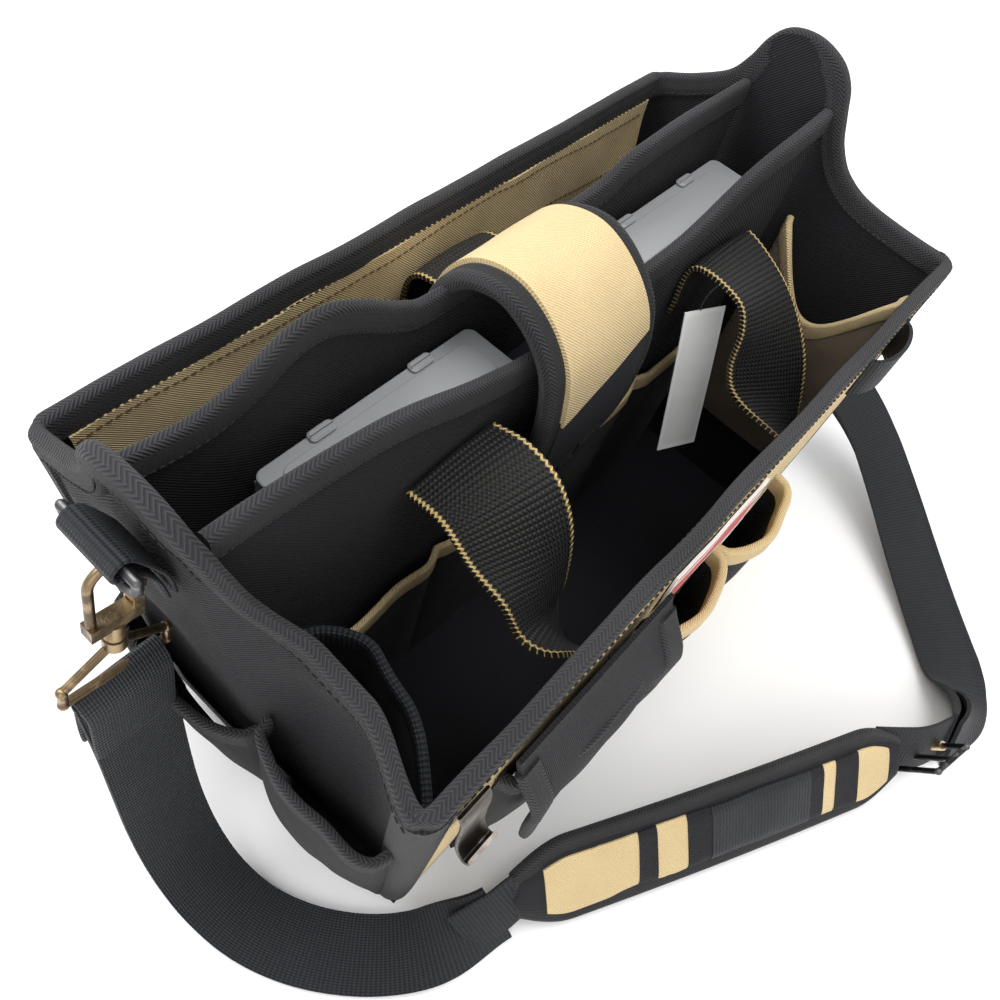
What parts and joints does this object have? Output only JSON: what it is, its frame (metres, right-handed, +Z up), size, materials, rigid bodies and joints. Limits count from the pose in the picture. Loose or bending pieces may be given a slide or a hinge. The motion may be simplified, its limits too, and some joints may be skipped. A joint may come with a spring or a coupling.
{
  "type": "garden tool bag",
  "caption": "Open-top soft tool bag with dividers, a padded saddle handle, lidded parts boxes, elastic tool loops, outside pockets and a clip-on shoulder strap.",
  "frame": {"origin": "on the ground, under the middle of the bag's outline without its shoulder strap", "axes": "+X along the bag to its right end, +Y to its back, +Z up"},
  "size_m": [0.5983, 0.4408, 0.312],
  "materials": {
    "black_fabric": "woven, matte",
    "binding_tape": "herringbone tape, satin",
    "tan_fabric": "woven, matte",
    "stiffener_board": "matte",
    "black_webbing": "ribbed webbing",
    "ribbed_elastic": "ribbed elastic with gold edge stitching",
    "grey_plastic": "satin, slightly translucent",
    "woven_patch": "woven, matte",
    "card": "matte",
    "dark_metal": "satin",
    "brass": "worn satin",
    "aged_bronze": "aged, satin"
  },
  "bodies": {
    "root": {"back_divider": "black_fabric", "back_elastic_loop": "ribbed_elastic", "back_lining_band": "tan_fabric", "back_rim_binding": "binding_tape", "back_wall": "black_fabric", "base_board": "stiffener_board", "base_panel": "black_fabric", "box_shelf": "stiffener_board", "corner_bindings": "binding_tape", "divider_bindings": "binding_tape", "divider_pocket_edge": "tan_fabric", "divider_pocket_row": "black_fabric", "ear_bindings": "binding_tape", "end_ears": "black_fabric", "end_rim_bindings": "binding_tape", "front_divider": "black_fabric", "front_inner_webbing": "black_webbing", "front_outer_panel": "tan_fabric", "front_patch": "woven_patch", "front_pouch": "black_fabric", "front_rim_binding": "binding_tape", "front_small_pocket_left": "black_fabric", "front_small_pocket_right": "black_fabric", "front_wall": "black_fabric", "handle_bindings": "binding_tape", "handle_grip_patch": "tan_fabric", "handle_ribbed_band": "black_webbing", "handle_saddle": "black_fabric", "hang_tag": "card", "left_elastic_loop": "ribbed_elastic", "left_end_wall": "black_fabric", "left_hook_eye": "aged_bronze", "left_inner_pocket": "black_fabric", "left_outer_pockets": "black_fabric", "left_ring_tab": "black_webbing", "right_elastic_loop": "ribbed_elastic", "right_end_wall": "black_fabric", "right_hook_eye": "aged_bronze", "right_inner_pocket": "black_fabric", "right_outer_pockets": "black_fabric", "right_ring_tab": "black_webbing", "shoulder_pad": "black_fabric", "slider_frame": "dark_metal", "slider_roller": "brass", "strap_left_run": "black_webbing", "strap_right_run": "black_webbing", "strap_under_run": "black_webbing", "tape_clip": "dark_metal", "tool_loop": "black_webbing"},
    "left_ring": {"left_d_ring": "aged_bronze"},
    "right_ring": {"right_d_ring": "aged_bronze"},
    "left_hook": {"left_hook_body": "aged_bronze"},
    "right_hook": {"right_hook_body": "aged_bronze"},
    "left_gate": {"left_hook_gate": "aged_bronze"},
    "right_gate": {"right_hook_gate": "aged_bronze"},
    "left_box": {"left_box_tray": "grey_plastic"},
    "right_box": {"right_box_tray": "grey_plastic"},
    "left_lid": {"left_box_lid": "grey_plastic"},
    "right_lid": {"right_box_lid": "grey_plastic"},
    "pouch_flap": {"front_flap": "black_fabric"}
  },
  "joints": [
    {"name": "left_ring_swing", "type": "hinge", "parent": "root", "child": "left_ring", "pos_m": [-0.231, 0.03656, 0.286], "axis": [0, 1, 0], "range_deg": [-2, 6]},
    {"name": "left_hook_swivel", "type": "hinge", "parent": "root", "child": "left_hook", "pos_m": [-0.231, 0.03656, 0.267], "axis": [0.1736, 0, 0.9848], "range_deg": [-20, 20]},
    {"name": "left_gate_hinge", "type": "hinge", "parent": "left_hook", "child": "left_gate", "pos_m": [-0.22652, 0.03656, 0.24346], "axis": [0, -1, 0], "range_deg": [0, 35], "stiffness_Nm_per_rad": 0.01},
    {"name": "right_ring_swing", "type": "hinge", "parent": "root", "child": "right_ring", "pos_m": [0.231, 0.03656, 0.286], "axis": [0, 1, 0], "range_deg": [-6, 2]},
    {"name": "right_hook_swivel", "type": "hinge", "parent": "root", "child": "right_hook", "pos_m": [0.231, 0.03656, 0.267], "axis": [-0.1736, 0, 0.9848], "range_deg": [-20, 20]},
    {"name": "right_gate_hinge", "type": "hinge", "parent": "right_hook", "child": "right_gate", "pos_m": [0.22652, 0.03656, 0.24346], "axis": [0, 1, 0], "range_deg": [0, 35], "stiffness_Nm_per_rad": 0.01},
    {"name": "left_box_lift", "type": "slide", "parent": "root", "child": "left_box", "axis": [-0.6222, 0, 0.7828], "range_m": [0, 0.072]},
    {"name": "right_box_lift", "type": "slide", "parent": "root", "child": "right_box", "axis": [0, 0, 1], "range_m": [0, 0.08]},
    {"name": "left_lid_hinge", "type": "hinge", "parent": "left_box", "child": "left_lid", "pos_m": [-0.095, 0.05406, 0.2338], "axis": [-1, 0, 0], "range_deg": [0, 65]},
    {"name": "right_lid_hinge", "type": "hinge", "parent": "right_box", "child": "right_lid", "pos_m": [0.127, 0.05406, 0.2338], "axis": [-1, 0, 0], "range_deg": [0, 86]},
    {"name": "flap_hinge", "type": "hinge", "parent": "root", "child": "pouch_flap", "pos_m": [-0.12, -0.09916, 0.231], "axis": [-1, 0, 0], "range_deg": [0, 110]}
  ]
}
